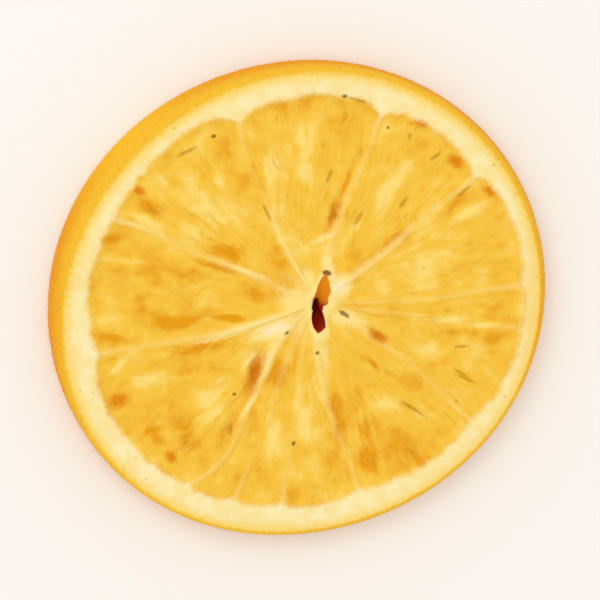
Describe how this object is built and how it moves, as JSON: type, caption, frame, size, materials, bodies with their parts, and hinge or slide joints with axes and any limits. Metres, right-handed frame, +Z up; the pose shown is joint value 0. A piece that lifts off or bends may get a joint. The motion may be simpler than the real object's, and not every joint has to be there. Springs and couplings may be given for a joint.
{
  "type": "freeze-dried orange slice",
  "caption": "Flat round freeze-dried citrus slice with thin zest, a pale pith ring, pulp segments between raised membranes and a small slot through its core.",
  "frame": {"origin": "middle of the slice's outline, on its flat underside", "axes": "+Z up through the thickness; +X to the right and +Y away from the viewer as the slice is seen from above"},
  "size_m": [0.0706, 0.067, 0.0052],
  "materials": {
    "orange_slice": "dry, matt, slightly crisp fruit"
  },
  "bodies": {
    "root": {"orange_slice": "orange_slice"}
  },
  "joints": []
}
